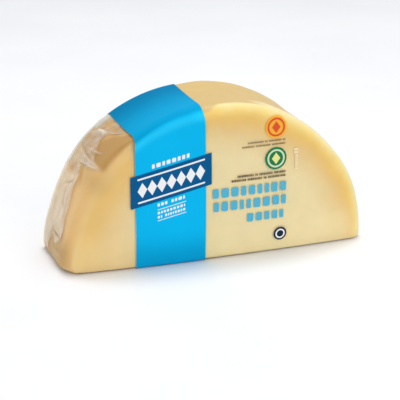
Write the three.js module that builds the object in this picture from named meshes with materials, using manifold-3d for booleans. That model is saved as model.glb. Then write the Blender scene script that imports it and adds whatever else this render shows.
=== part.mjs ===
// A half-moon of provolone, vacuum-packed in clear film, with a printed band wrapped over it.
// Millimetres, +Z up. The pack stands on its flat cut side and its printed face looks along -Y.
// The origin is under the middle of the pack, on the surface that it stands on.

import * as THREE from "three";
import { mergeVertices } from "three/addons/utils/BufferGeometryUtils.js";
import Module from "manifold-3d";

const { cos, sin, sqrt, abs, exp, PI, hypot, max } = Math;
const { clamp, degToRad, lerp } = THREE.MathUtils;

// The cheese: an upper half of an ellipse, cut flat below.
const HALF_WIDTH = 103.5; // reach of the rind along X
const HEIGHT = 104.5; // top of the rind above the base
const END_THICKNESS = 57; // across Y at the two ends
const BELLY = 0.14; // extra thickness in the middle, as a share
const HUB = 38; // height of the point that the rings shrink towards
const CORNER_SOFTNESS = 8.3; // how much the two feet are rounded
const FACE_BULGE = 1.5; // how far the middle of each face stands out
const RIND_HOLLOW = 0.8; // how far the rind sinks between its two edges
const LEAN = { most: 1.5, height: 36, below: 36, above: 44 }; // both flanks lie over towards +X

// The rounded edge between a face and the rind, and the tighter one along the base. The front's
// edge is blunter at the left foot and at the band's right side, and sharper at its left side.
const RIND_EDGE = { inset: 9.7, depth: 5.9 };
const BASE_EDGE = { inset: 3.2, depth: 2.6 };
const LEFT_FOOT_EDGE = { inset: 8, depth: 18 };
const BAND_LEFT_EDGE = { inset: 2, depth: 1.8 };
const BAND_RIGHT_EDGE = { inset: 12, depth: 10 };
const LEFT_FOOT = { start: -88, full: -100, height: 24 };
const LEFT_SIDE_FADE = { left: 14, right: 30 }; // how far from the band's side its edge fades out
const RIGHT_SIDE_FADE = { left: 12, right: 20 };

// The printed band: a strap over the front, the top and the back, with a slanted panel on the front.
const BAND_LEFT = -56;
const BAND_RIGHT = -10;
const BAND_FOOT = 1; // the band stops this far above the base
const BAND_THICKNESS = 0.4;
const BAND_GAP = 0.3; // clearance between the film and the band
const BAND_DETAIL = 0.02; // facets that the cut leaves smaller than this are closed up
const BAND_PRESS = { left: 0.5, right: 1.3 }; // how far the tight band draws the rind in
const PRESS_FADE = { left: 8, right: 26 }; // how far beyond the band that fades out
const PANEL = { left: -59.2, right: -6.3, leftTop: 61.8, rightTop: 73.4, height: 20.9 };

// Folds where the film is gathered over the left end. Each is a ridge along a polyline, whose
// corners are [degrees up the rind from the left foot, depth along Y, height of the ridge].
const FOLDS = [
  { halfWidth: 3.4, along: [[41, 22, 0.2], [40.3, 8, 1.1], [40.2, -10, 1.4], [40.8, -25, 0.3]] },
  { halfWidth: 2.6, along: [[43.2, 12, 0.2], [43.9, -4, 1.1], [46, -16, 0.2]] },
  { halfWidth: 2.8, along: [[47, 17, 0.5], [50, 12, 1.3], [51.5, 1, 1.1], [55, -12, 0.2]] },
  { halfWidth: 2.8, along: [[38, 9, 0.4], [35, -3, 1.1], [27, -6, 1], [19, -7, 1], [11, -13, 0.3]] },
  { halfWidth: 2.8, along: [[34, 14, 0.2], [27, 10, 0.8], [20, 4, 0.8], [12, 5, 0.2]] },
  { halfWidth: 2.6, along: [[31, 20, 0.2], [22, 19, 0.7], [14, 14, 0.2]] },
];

// The folds rise over this stretch, as a share of the way from the middle of the base to the rind.
const FOLDS_START = 0.93;
const FOLDS_FULL = 0.98;

// Spacing of the facets along the outline, and how many rings cross each part of the profile.
const SPACING = { gathered: 2.4, bandEdge: 3, rind: 5.5, foot: 2.2, base: 9 };
const FOOT = { width: 12, height: 9 }; // the stretch at each end that is spaced as a foot
const FACE_RINGS = 4;
const EDGE_RINGS = 4;
const RIND_RINGS = 10; // from an edge to the middle of the rind
const OUTLINE_STEP = degToRad(0.05); // the fineness with which the outline is walked
const OVERSHOOT = 20; // how far a cutter runs past what it cuts
const WELD = 1e-4; // corners closer than this are one

const smooth = (t) => clamp(t, 0, 1) ** 2 * (3 - 2 * clamp(t, 0, 1));

// How far the band draws the rind in at a place along X.
function bandPress(x) {
  const share = clamp((x - BAND_LEFT) / (BAND_RIGHT - BAND_LEFT), 0, 1);
  const onLeft = smooth(1 + (x - BAND_LEFT) / PRESS_FADE.left);
  const onRight = smooth(1 + (BAND_RIGHT - x) / PRESS_FADE.right);
  return lerp(BAND_PRESS.left, BAND_PRESS.right, share) * onLeft * onRight;
}

// How far the flanks lie over at a height: most at one height, and nothing at the base and the top.
function leanAt(z) {
  const away = z - LEAN.height;
  return LEAN.most * smooth(1 - max(-away / LEAN.below, away / LEAN.above));
}

// The outline seen from the front, as the distance from the hub in a given direction, and how
// much of that direction belongs to the base (0 on the rind, 1 on the base).
function outlineAt(angle) {
  const across = cos(angle) / HALF_WIDTH;
  const up = sin(angle) / HEIGHT;
  const square = across ** 2 + up ** 2;
  const slope = (HUB / HEIGHT) * up;
  const rest = (HUB / HEIGHT) ** 2 - 1;
  const toEllipse = (sqrt(slope ** 2 - square * rest) - slope) / square;
  const toRind = toEllipse + leanAt(HUB + toEllipse * sin(angle)) * cos(angle);
  if (sin(angle) >= 0) return { reach: toRind - bandPress(toRind * cos(angle)), baseShare: 0 };
  const toBase = -HUB / sin(angle);
  const nearBase = clamp(0.5 + (toRind - toBase) / (2 * CORNER_SOFTNESS), 0, 1);
  const rounding = CORNER_SOFTNESS * nearBase * (1 - nearBase);
  return { reach: lerp(toRind, toBase, nearBase) - rounding, baseShare: smooth(nearBase) };
}

// How near a place is to either side of the band: 1 at it, 0 out of its reach.
function nearBandSide(x, z, sideX, fade) {
  const past = x - sideX;
  return z > HUB ? smooth(1 - max(-past / fade.left, past / fade.right)) : 0;
}
const nearBandLeft = (x, z) => nearBandSide(x, z, BAND_LEFT, LEFT_SIDE_FADE);
const nearBandRight = (x, z) => nearBandSide(x, z, BAND_RIGHT, RIGHT_SIDE_FADE);

// The size of the rounded edge in a direction from the hub, on the front (-1) or the back (1).
// At the base the blunt edge of the foot keeps its depth, but narrows to the inset of the base.
function edgeAt(angle, side, { reach, baseShare }) {
  const x = reach * cos(angle);
  const z = HUB + reach * sin(angle);
  const { start, full, height } = LEFT_FOOT;
  const atFoot = side < 0 ? smooth((start - x) / (start - full)) * smooth(1 - z / height) : 0;
  const atBandLeft = side < 0 ? nearBandLeft(x, z) : 0;
  const atBandRight = side < 0 ? nearBandRight(x, z) : 0;
  const size = (key, footShare) => {
    const edge = lerp(RIND_EDGE[key], BASE_EDGE[key], baseShare);
    const edgeWithFoot = lerp(edge, LEFT_FOOT_EDGE[key], footShare);
    return lerp(lerp(edgeWithFoot, BAND_LEFT_EDGE[key], atBandLeft), BAND_RIGHT_EDGE[key], atBandRight);
  };
  return { inset: size("inset", atFoot * (1 - baseShare)), depth: size("depth", atFoot) };
}

// Directions from the hub, closer together where the film is gathered and at the feet.
function directions() {
  const spot = (angle) => {
    const { reach } = outlineAt(angle);
    return [reach * cos(angle), HUB + reach * sin(angle)];
  };
  const spacingAt = ([x, z]) => {
    if (z < FOOT.height && abs(x) > HALF_WIDTH - FOOT.width) return SPACING.foot;
    if (z < WELD) return SPACING.base;
    if (x < BAND_LEFT) return SPACING.gathered;
    return nearBandLeft(x, z) + nearBandRight(x, z) > 0 ? SPACING.bandEdge : SPACING.rind;
  };
  const angles = [];
  let last = null;
  for (let angle = -PI / 2; angle < 1.5 * PI - OUTLINE_STEP; angle += OUTLINE_STEP) {
    const here = spot(angle);
    if (last && hypot(here[0] - last[0], here[1] - last[1]) < spacingAt(here)) continue;
    angles.push(angle);
    last = here;
  }
  return angles;
}

// The profile from the middle of the front face, over the rind, to the middle of the back.
// Each ring gives its distance from the hub and its depth, from the outline in one direction.
function profileRings() {
  const half = [];
  for (let i = 1; i <= FACE_RINGS; i++) {
    half.push(({ reach, inset }) => [((reach - inset) * i) / FACE_RINGS, END_THICKNESS / 2]);
  }
  for (let i = 1; i <= EDGE_RINGS; i++) {
    const turn = (i / EDGE_RINGS) * (PI / 2);
    half.push(({ reach, inset, depth }) => [
      reach - inset * (1 - sin(turn)),
      END_THICKNESS / 2 - depth * (1 - cos(turn)),
    ]);
  }
  for (let i = 1; i <= RIND_RINGS; i++) {
    half.push(({ reach, depth }) => [reach, (1 - i / RIND_RINGS) * (END_THICKNESS / 2 - depth)]);
  }
  const facing = (side, rings) => rings.map((distanceAndDepth) => ({ side, distanceAndDepth }));
  return [...facing(-1, half), ...facing(1, half.slice(0, -1).toReversed())];
}

// A point on the pack, with the hollow of the rind, the bulge of the faces and the belly put in.
function pointOn(angle, { side, distanceAndDepth }) {
  const outline = outlineAt(angle);
  const { reach, baseShare } = outline;
  const [distance, flatDepth] = distanceAndDepth({ reach, ...edgeAt(angle, side, outline) });
  const acrossRind = flatDepth / (END_THICKNESS / 2);
  const hollow = RIND_HOLLOW * (1 - baseShare) * (1 - acrossRind ** 2) * (distance / reach);
  const x = (distance - hollow) * cos(angle);
  const z = HUB + (distance - hollow) * sin(angle);
  const bulge = FACE_BULGE * (1 - (distance / reach) ** 2);
  const belly = 1 + BELLY * (1 - (x / HALF_WIDTH) ** 2);
  return new THREE.Vector3(x, side * (flatDepth + bulge) * belly, z);
}

// Where a point lies on the unrolled left half of the rind: millimetres up from the foot, and depth.
const unroll = (degrees, depth) => [degToRad(degrees) * HALF_WIDTH, depth];

// The height of a ridge at a point, from the piece of it between two corners.
function heightBesidePiece(point, from, to, halfWidth) {
  const [start, end] = [unroll(from[0], from[1]), unroll(to[0], to[1])];
  const along = [end[0] - start[0], end[1] - start[1]];
  const offset = [point[0] - start[0], point[1] - start[1]];
  const share = clamp((offset[0] * along[0] + offset[1] * along[1]) / hypot(...along) ** 2, 0, 1);
  const away = hypot(offset[0] - share * along[0], offset[1] - share * along[1]);
  return lerp(from[2], to[2], share) * exp(-((away / halfWidth) ** 2));
}

// How far the gathered film stands out from the rind at a point.
function foldHeight({ x, y, z }) {
  if (x > 0) return 0;
  const degrees = THREE.MathUtils.radToDeg(Math.atan2(z / HEIGHT, -x / HALF_WIDTH));
  const here = unroll(degrees, y);
  const outwards = hypot(x / HALF_WIDTH, z / HEIGHT);
  const onRind = smooth((outwards - FOLDS_START) / (FOLDS_FULL - FOLDS_START));
  const heights = FOLDS.flatMap(({ along, halfWidth }) =>
    along.slice(1).map((to, i) => heightBesidePiece(here, along[i], to, halfWidth)),
  );
  return onRind * max(...heights);
}

// The closed surface of the pack, folds and all, moved outwards by a clearance.
function packGeometry(clearance = 0) {
  const angles = directions();
  const rings = profileRings();
  const positions = [];
  const put = (p) => positions.push(p.x, p.y, p.z);
  const pole = { side: -1, distanceAndDepth: () => [0, END_THICKNESS / 2] };
  put(pointOn(0, pole));
  rings.forEach((ring) => angles.forEach((angle) => put(pointOn(angle, ring))));
  put(pointOn(0, { ...pole, side: 1 }));

  const count = angles.length;
  const at = (ring, i) => 1 + ring * count + (i % count);
  const last = 1 + rings.length * count;
  const faces = [];
  for (let i = 0; i < count; i++) {
    faces.push(0, at(0, i), at(0, i + 1));
    faces.push(last, at(rings.length - 1, i + 1), at(rings.length - 1, i));
    for (let ring = 0; ring + 1 < rings.length; ring++) {
      faces.push(at(ring, i), at(ring + 1, i), at(ring + 1, i + 1));
      faces.push(at(ring, i), at(ring + 1, i + 1), at(ring, i + 1));
    }
  }
  const geometry = new THREE.BufferGeometry();
  geometry.setAttribute("position", new THREE.Float32BufferAttribute(positions, 3));
  geometry.setIndex(faces);
  geometry.computeVertexNormals();

  const place = geometry.getAttribute("position");
  const normal = geometry.getAttribute("normal");
  for (let i = 0; i < place.count; i++) {
    const p = new THREE.Vector3().fromBufferAttribute(place, i);
    const outwards = new THREE.Vector3().fromBufferAttribute(normal, i);
    p.addScaledVector(outwards, clearance + foldHeight(p));
    place.setXYZ(i, p.x, p.y, p.z);
  }
  geometry.computeVertexNormals();
  return geometry;
}

const wasm = await Module();
wasm.setup();

// A closed geometry as a solid for cutting and joining, and back again.
function solidOf(geometry) {
  const bare = new THREE.BufferGeometry();
  bare.setAttribute("position", geometry.getAttribute("position"));
  bare.setIndex(geometry.index);
  const merged = mergeVertices(bare, WELD);
  return new wasm.Manifold(
    new wasm.Mesh({
      numProp: 3,
      vertProperties: merged.getAttribute("position").array,
      triVerts: new Uint32Array(merged.index.array),
    }),
  );
}

function geometryOf(solid) {
  const { vertProperties, triVerts } = solid.getMesh();
  const geometry = new THREE.BufferGeometry();
  geometry.setAttribute("position", new THREE.BufferAttribute(vertProperties, 3));
  geometry.setIndex(new THREE.BufferAttribute(triVerts, 1));
  geometry.computeVertexNormals();
  return geometry;
}

// A prism with the given outline in X and Z, running along Y between two depths.
function prism(corners, fromY, toY) {
  const shape = new THREE.Shape(corners.map(([x, z]) => new THREE.Vector2(x, z)));
  const geometry = new THREE.ExtrudeGeometry(shape, { depth: toY - fromY, bevelEnabled: false });
  geometry.rotateX(PI / 2);
  geometry.translate(0, toY, 0);
  return solidOf(geometry);
}

// The band's skin: the shell between two clearances round the pack, cut to the strap and panel.
function bandGeometry() {
  const outer = solidOf(packGeometry(BAND_GAP + BAND_THICKNESS));
  const inner = solidOf(packGeometry(BAND_GAP));
  const past = HEIGHT + OVERSHOOT;
  const strap = prism(
    [[BAND_LEFT, BAND_FOOT], [BAND_RIGHT, BAND_FOOT], [BAND_RIGHT, past], [BAND_LEFT, past]],
    -END_THICKNESS / 2 - OVERSHOOT,
    END_THICKNESS / 2 + OVERSHOOT,
  );
  const { left, right, leftTop, rightTop, height } = PANEL;
  const panel = prism(
    [[left, leftTop - height], [right, rightTop - height], [right, rightTop], [left, leftTop]],
    -END_THICKNESS / 2 - OVERSHOOT,
    0,
  );
  const band = outer.subtract(inner).intersect(strap.add(panel));
  return geometryOf(band.simplify(BAND_DETAIL));
}

function mesh(name, geometry, colour, roughness) {
  const material = new THREE.MeshStandardMaterial({ color: colour, roughness, metalness: 0 });
  const made = new THREE.Mesh(geometry, material);
  made.name = name;
  return made;
}

const pack = new THREE.Group();
pack.add(mesh("cheese_in_film", packGeometry(), 0xe6cf9c, 0.35));
pack.add(mesh("label_band", bandGeometry(), 0x14b0e6, 0.4));

export default pack;
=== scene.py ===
# The looks of a vacuum-packed half-moon of provolone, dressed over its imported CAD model.
# Sizes are in millimetres, in the CAD's frame, and turn into metres where a mesh is made.

import math

import bpy
import numpy as np
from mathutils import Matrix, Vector


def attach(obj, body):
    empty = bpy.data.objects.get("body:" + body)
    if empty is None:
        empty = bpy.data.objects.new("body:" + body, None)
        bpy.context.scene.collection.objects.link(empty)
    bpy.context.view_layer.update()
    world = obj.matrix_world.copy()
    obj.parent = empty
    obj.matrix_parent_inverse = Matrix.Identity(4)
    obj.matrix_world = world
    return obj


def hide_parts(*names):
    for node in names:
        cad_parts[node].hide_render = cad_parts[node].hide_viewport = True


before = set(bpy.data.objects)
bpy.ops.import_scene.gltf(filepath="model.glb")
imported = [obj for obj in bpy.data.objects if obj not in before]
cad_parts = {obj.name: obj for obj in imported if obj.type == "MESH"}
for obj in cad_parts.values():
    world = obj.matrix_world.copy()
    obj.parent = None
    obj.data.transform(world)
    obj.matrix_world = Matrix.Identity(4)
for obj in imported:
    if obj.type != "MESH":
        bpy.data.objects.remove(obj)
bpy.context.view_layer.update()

MM = 0.001

# ---- the pack's form, as in the CAD

HALF_WIDTH = 103.5  # reach of the rind along X
HEIGHT = 104.5  # top of the rind above the base
END_THICKNESS = 57.0  # across Y at the two ends
BELLY = 0.14  # extra thickness in the middle, as a share
HUB = 38.0  # height of the point that the rings shrink towards
CORNER_SOFTNESS = 8.3  # how much the two feet are rounded
FACE_BULGE = 1.5  # how far the middle of each face stands out
RIND_HOLLOW = 0.8  # how far the rind sinks between its two edges
LEAN = 1.5  # how far both flanks lie over towards +X, at the height where they do most
LEAN_HEIGHT = 36.0
LEAN_FADE = (36.0, 44.0)  # how far below and above that height it fades out

# The rounded edge between a face and the rind, as (inset, depth), and where the front's changes.
RIND_EDGE = (9.7, 5.9)
BASE_EDGE = (3.2, 2.6)
LEFT_FOOT_EDGE = (8.0, 18.0)
BAND_LEFT_EDGE = (2.0, 1.8)
BAND_RIGHT_EDGE = (12.0, 10.0)
LEFT_FOOT_START = -88.0
LEFT_FOOT_FULL = -100.0
LEFT_FOOT_HEIGHT = 24.0
LEFT_SIDE_FADE = (14.0, 30.0)  # how far to either side of the band's side its edge fades out
RIGHT_SIDE_FADE = (12.0, 20.0)

# Folds of the gathered film, as (half width, corners). A corner is (degrees up the left rind,
# depth along Y, height).
FOLDS = [
    (3.4, [(41, 22, 0.2), (40.3, 8, 1.1), (40.2, -10, 1.4), (40.8, -25, 0.3)]),
    (2.6, [(43.2, 12, 0.2), (43.9, -4, 1.1), (46, -16, 0.2)]),
    (2.8, [(47, 17, 0.5), (50, 12, 1.3), (51.5, 1, 1.1), (55, -12, 0.2)]),
    (2.8, [(38, 9, 0.4), (35, -3, 1.1), (27, -6, 1), (19, -7, 1), (11, -13, 0.3)]),
    (2.8, [(34, 14, 0.2), (27, 10, 0.8), (20, 4, 0.8), (12, 5, 0.2)]),
    (2.6, [(31, 20, 0.2), (22, 19, 0.7), (14, 14, 0.2)]),
]

# The printed band and its slanted panel.
BAND_LEFT = -56.0
BAND_RIGHT = -10.0
BAND_FOOT = 0.6
BAND_PRESS_LEFT = 0.5  # how far the tight band draws the rind in
BAND_PRESS_RIGHT = 1.3
PRESS_FADE_LEFT = 8.0  # how far beyond the band that fades out
PRESS_FADE_RIGHT = 26.0
BAND_NARROWING = 1.0  # how far the band's right side draws in over the top
PANEL_LEFT = -59.2
PANEL_RIGHT = -6.3
PANEL_LEFT_TOP = 61.8
PANEL_RIGHT_TOP = 73.4
PANEL_HEIGHT = 20.9
PANEL_SLOPE = (PANEL_RIGHT_TOP - PANEL_LEFT_TOP) / (PANEL_RIGHT - PANEL_LEFT)

# How far each layer lies outside the pack's form, and how thick it is.
CHEESE_LIFT = -0.55
CHEESE_UNEVENNESS = 0.25
BAND_LIFT = 0.15
BAND_THICKNESS = 0.2
PANEL_LIFT = 0.42
MOTIF_LIFT = 0.56
INK_LIFT = 0.12
INK_THICKNESS = 0.08
LAYER_GAP = 0.05  # between one layer and what lies on it
OVERPRINT_LIFT = INK_LIFT + INK_THICKNESS + LAYER_GAP
PLEAT_THICKNESS = 0.05
FLOOR_CLEARANCE = 0.05

# How finely curves and random fields are worked out.
OUTLINE_STEPS = 20000
RIND_POINT_ROUNDS = 5
SLOPE_STEP = 0.05
PATH_POINTS = 24
CIRCLE_POINTS = 48
WAVE_COUNT = 18
WAVE_SPREAD = 0.35

SHARP_ANGLE = math.radians(50)
BUMP_STRENGTH = 0.4


def lerp(a, b, share):
    return a + (b - a) * share


def smooth(t):
    t = np.clip(t, 0.0, 1.0)
    return t * t * (3.0 - 2.0 * t)


# Places given to the two functions below are in millimetres: x, y and z in the CAD's frame, rim
# inwards from the outline, and up and across on the unrolled left rind. A rind_share goes from 0
# on a face to 1 on the rind.


def fade(values, none_at, full_at):
    """0 at one place and 1 at the other, smooth between them and level beyond."""
    return smooth((values - none_at) / (full_at - none_at))


def bump_at(values, centre, below, above):
    """1 at the centre, falling smoothly to 0 over the given distances below and above it."""
    return fade(values, centre - below, centre) * fade(values, centre + above, centre)


def band_press(x):
    """How far the band draws the rind in at a place along X."""
    share = np.clip((x - BAND_LEFT) / (BAND_RIGHT - BAND_LEFT), 0, 1)
    on_left = smooth(1 + (x - BAND_LEFT) / PRESS_FADE_LEFT)
    on_right = smooth(1 + (BAND_RIGHT - x) / PRESS_FADE_RIGHT)
    return lerp(BAND_PRESS_LEFT, BAND_PRESS_RIGHT, share) * on_left * on_right


def reach_to_rind(angle):
    """The distance from the hub to the rind: an ellipse that leans over, drawn in by the band."""
    across, up = np.cos(angle) / HALF_WIDTH, np.sin(angle) / HEIGHT
    square = across**2 + up**2
    slope = HUB / HEIGHT * up
    reach = (np.sqrt(slope**2 - square * ((HUB / HEIGHT) ** 2 - 1)) - slope) / square
    lean = LEAN * bump_at(HUB + reach * np.sin(angle), LEAN_HEIGHT, *LEAN_FADE)
    reach = reach + lean * np.cos(angle)
    return reach - np.where(np.sin(angle) > 0, band_press(reach * np.cos(angle)), 0)


def outline_at(angle):
    """The distance from the hub to the outline, and how much of the direction is the base's."""
    to_rind = reach_to_rind(angle)
    downward = np.minimum(np.sin(angle), -1e-6)
    to_base = np.where(np.sin(angle) < 0, -HUB / downward, 10 * HALF_WIDTH)
    near_base = np.clip(0.5 + (to_rind - to_base) / (2 * CORNER_SOFTNESS), 0, 1)
    rounding = CORNER_SOFTNESS * near_base * (1 - near_base)
    return lerp(to_rind, to_base, near_base) - rounding, smooth(near_base)


def profile_at(angle, side):
    """The outline in each direction, and the inset and depth of the edge on the front or back."""
    reach, base_share = outline_at(angle)
    x, z = reach * np.cos(angle), HUB + reach * np.sin(angle)
    on_front = np.less(side, 0)
    at_foot = on_front * fade(x, LEFT_FOOT_START, LEFT_FOOT_FULL) * fade(z, LEFT_FOOT_HEIGHT, 0)
    at_band_left = on_front * (z > HUB) * bump_at(x, BAND_LEFT, *LEFT_SIDE_FADE)
    at_band_right = on_front * (z > HUB) * bump_at(x, BAND_RIGHT, *RIGHT_SIDE_FADE)
    # At the base the foot's blunt edge keeps its depth, but narrows to the base's inset.
    foot_shares = (at_foot * (1 - base_share), at_foot)
    sizes = []
    for i, foot_share in enumerate(foot_shares):
        size = lerp(RIND_EDGE[i], BASE_EDGE[i], base_share)
        size = lerp(size, LEFT_FOOT_EDGE[i], foot_share)
        size = lerp(size, BAND_LEFT_EDGE[i], at_band_left)
        sizes.append(lerp(size, BAND_RIGHT_EDGE[i], at_band_right))
    return reach, base_share, *sizes


def belly_at(x):
    return 1 + BELLY * (1 - (x / HALF_WIDTH) ** 2)


def bulge_at(distance, reach):
    return FACE_BULGE * (1 - (distance / reach) ** 2)


# A ring of the profile gives, from the outline's reach, its distance from the hub and its depth.


def face_ring(share):
    return lambda reach, inset, depth: ((reach - inset) * share, END_THICKNESS / 2)


def edge_ring(turn):
    return lambda reach, inset, depth: (
        reach - inset * (1 - math.sin(turn)),
        END_THICKNESS / 2 - depth * (1 - math.cos(turn)),
    )


def rind_ring(across):
    return lambda reach, inset, depth: (reach, across * (END_THICKNESS / 2 - depth))


def ring_points(angle, side, ring):
    """The points of one ring of the profile, one for each direction."""
    reach, base_share, inset, depth = profile_at(angle, side)
    distance, flat_depth = ring(reach, inset, depth)
    across_rind = flat_depth / (END_THICKNESS / 2)
    hollow = RIND_HOLLOW * (1 - base_share) * (1 - across_rind**2) * (distance / reach)
    x = (distance - hollow) * np.cos(angle)
    z = HUB + (distance - hollow) * np.sin(angle)
    y = side * (flat_depth + bulge_at(distance, reach)) * belly_at(x)
    return np.stack([x, y, z], axis=-1)


def half_depth_at(x, z, side=-1):
    """Half the pack's thickness at a place on its face, rounded edges included."""
    angle = np.arctan2(z - HUB, x)
    distance = np.hypot(x, z - HUB)
    reach, _, inset, depth = profile_at(angle, side)
    sine = 1 - np.clip((reach - distance) / inset, 0, 1)
    flat_depth = END_THICKNESS / 2 - depth * (1 - np.sqrt(1 - sine**2))
    return (flat_depth + bulge_at(distance, reach)) * belly_at(x)


def up_the_rind(points):
    """How far each point lies up the left half of the rind, in millimetres from the foot."""
    return np.arctan2(points[:, 2] / HEIGHT, -points[:, 0] / HALF_WIDTH) * HALF_WIDTH


def from_rim(points):
    """How far each point lies inside the rind's outline, seen from the front."""
    angle = np.arctan2(points[:, 2] - HUB, points[:, 0])
    return reach_to_rind(angle) - np.hypot(points[:, 0], points[:, 2] - HUB)


def rind_point(up, across):
    """The point of the pack's surface at a distance up the left rind and a depth along Y."""
    theta = up / HALF_WIDTH
    angle = np.arctan2(HEIGHT * np.sin(theta) - HUB, -HALF_WIDTH * np.cos(theta))
    reach, base_share, inset, depth = profile_at(angle, across)
    distance = reach
    for _ in range(RIND_POINT_ROUNDS):
        flat_depth = np.abs(across) / belly_at(distance * np.cos(angle)) - bulge_at(distance, reach)
        over_edge = np.clip((flat_depth - END_THICKNESS / 2 + depth) / depth, 0, 1)
        across_rind = np.clip(flat_depth / (END_THICKNESS / 2), 0, 1)
        hollow = RIND_HOLLOW * (1 - base_share) * (1 - across_rind**2)
        distance = reach - inset * (1 - np.sqrt(1 - over_edge**2)) - hollow
    return np.stack([distance * np.cos(angle), across, HUB + distance * np.sin(angle)], axis=-1)


# ---- regions and unevenness


def away_from_line(up, across, start, end):
    """How far places on the unrolled rind lie from a straight line, and how far along it."""
    run_up, run_y = end[0] - start[0], end[1] - start[1]
    share = ((up - start[0]) * run_up + (across - start[1]) * run_y) / (run_up**2 + run_y**2)
    share = np.clip(share, 0, 1)
    return np.hypot(up - start[0] - share * run_up, across - start[1] - share * run_y), share


def inside_share(up, across, outline, softness):
    """1 well inside an outline drawn on the unrolled rind, 0 well outside it, smooth between."""
    inside = np.zeros(len(up), dtype=bool)
    nearest = np.full(len(up), np.inf)
    for start, end in zip(outline, outline[1:] + outline[:1]):
        away, _ = away_from_line(up, across, start, end)
        nearest = np.minimum(nearest, away)
        spans = (start[1] > across) != (end[1] > across)
        crossing = start[0] + (end[0] - start[0]) * (across - start[1]) / (end[1] - start[1] + 1e-9)
        inside ^= spans & (up < crossing)
    return smooth(np.where(inside, nearest, -nearest) / softness + 0.5)


def tapered(share, blunt):
    """The strength along a mark: 1 in its middle and less towards its two ends, cut off blunt."""
    return np.sin(math.pi * lerp(blunt, 1 - blunt, share)) ** 0.6


def along_path(up, across, corners, width):
    """1 along a smooth path on the unrolled rind, falling off to its sides and its two ends."""
    path = smooth_path(corners, PATH_POINTS)
    strength = np.zeros_like(up)
    for i, (start, end) in enumerate(zip(path, path[1:])):
        away, share = away_from_line(up, across, start, end)
        here = tapered((i + share) / (PATH_POINTS - 1), 0.06) * np.exp(-((away / width) ** 2))
        strength = np.maximum(strength, here)
    return strength


def at_spot(up, across, place, reach):
    """1 at a place on the unrolled rind, falling off over the reach in each of its directions."""
    return np.exp(-(((up - place[0]) / reach[0]) ** 2) - ((across - place[1]) / reach[1]) ** 2)


def ridges(points, wavelength, seed, stretch=(1, 1, 1)):
    """A net of crisp random crests, 1 along each crest and 0 on the flats between."""
    return np.maximum(0, 1 - np.abs(waves(points, wavelength, seed, stretch)))


def waves(points, wavelength, seed, stretch=(1, 1, 1)):
    """A smooth random field of about unit height, with features of the given size."""
    random = np.random.default_rng(seed)
    total = np.zeros(len(points))
    for _ in range(WAVE_COUNT):
        direction = random.normal(size=3)
        direction *= (1 + WAVE_SPREAD * random.normal()) / np.linalg.norm(direction)
        phase = random.uniform(0, 2 * math.pi)
        total += np.cos(points @ (direction * stretch) * (2 * math.pi / wavelength) + phase)
    return total / math.sqrt(WAVE_COUNT / 2)


def smooth_path(corners, count):
    """Points spread along a smooth curve through the corners."""
    corners = np.asarray(corners, dtype=float)
    before = np.concatenate([2 * corners[:1] - corners[1:2], corners[:-1]])
    after = np.concatenate([corners[1:], 2 * corners[-1:] - corners[-2:-1]])
    slopes = (after - before) / 2
    travel = np.concatenate([[0], np.cumsum(np.linalg.norm(np.diff(corners, axis=0), axis=1))])
    at = np.interp(np.linspace(0, travel[-1], count), travel, np.arange(len(corners)))
    start = np.minimum(at.astype(int), len(corners) - 2)
    t = (at - start)[:, None]
    return (
        (2 * t**3 - 3 * t**2 + 1) * corners[start]
        + (t**3 - 2 * t**2 + t) * slopes[start]
        + (3 * t**2 - 2 * t**3) * corners[start + 1]
        + (t**3 - t**2) * slopes[start + 1]
    )


# ---- meshes


def vertex_normals(points, faces):
    """Unit normals of a mesh given as points and faces of three or four corners."""
    normals = np.zeros_like(points)
    by_size = {size: np.array([f for f in faces if len(f) == size]) for size in (3, 4)}
    for group in by_size.values():
        if len(group) == 0:
            continue
        across = points[group[:, 2]] - points[group[:, 0]]
        along = points[group[:, -1]] - points[group[:, 1]]
        facing = np.cross(across, along)
        for corner in range(group.shape[1]):
            np.add.at(normals, group[:, corner], facing)
    return normals / np.linalg.norm(normals, axis=1, keepdims=True)


def add_object(name, data):
    added = bpy.data.objects.new(name, data)
    bpy.context.scene.collection.objects.link(added)
    return added


def make_piece(name, points, faces, material, attributes=None, sharp_edges=False):
    """A piece of the object from points in millimetres, riding on the part's one body."""
    mesh = bpy.data.meshes.new(name)
    mesh.from_pydata((np.asarray(points) * MM).tolist(), [], [tuple(f) for f in faces])
    for attribute, values in (attributes or {}).items():
        layer = mesh.attributes.new(attribute, "FLOAT", "POINT")
        layer.data.foreach_set("value", np.asarray(values, dtype=np.float32))
    mesh.shade_smooth()
    if sharp_edges:
        mesh.set_sharp_from_angle(angle=SHARP_ANGLE)
    mesh.materials.append(material)
    piece = add_object(name, mesh)
    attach(piece, "root")
    return piece


def spaced_directions(count, fineness):
    """Directions from the hub, spread along the outline. fineness(x, z) is 1 for even spacing."""
    walk = np.linspace(-math.pi / 2, 1.5 * math.pi, OUTLINE_STEPS + 1)
    reach, _ = outline_at(walk)
    x, z = reach * np.cos(walk), HUB + reach * np.sin(walk)
    steps = np.hypot(np.diff(x), np.diff(z)) * fineness(x[1:], z[1:])
    travelled = np.concatenate([[0], np.cumsum(steps)])
    return np.interp(np.arange(count) / count * travelled[-1], travelled, walk)


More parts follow.
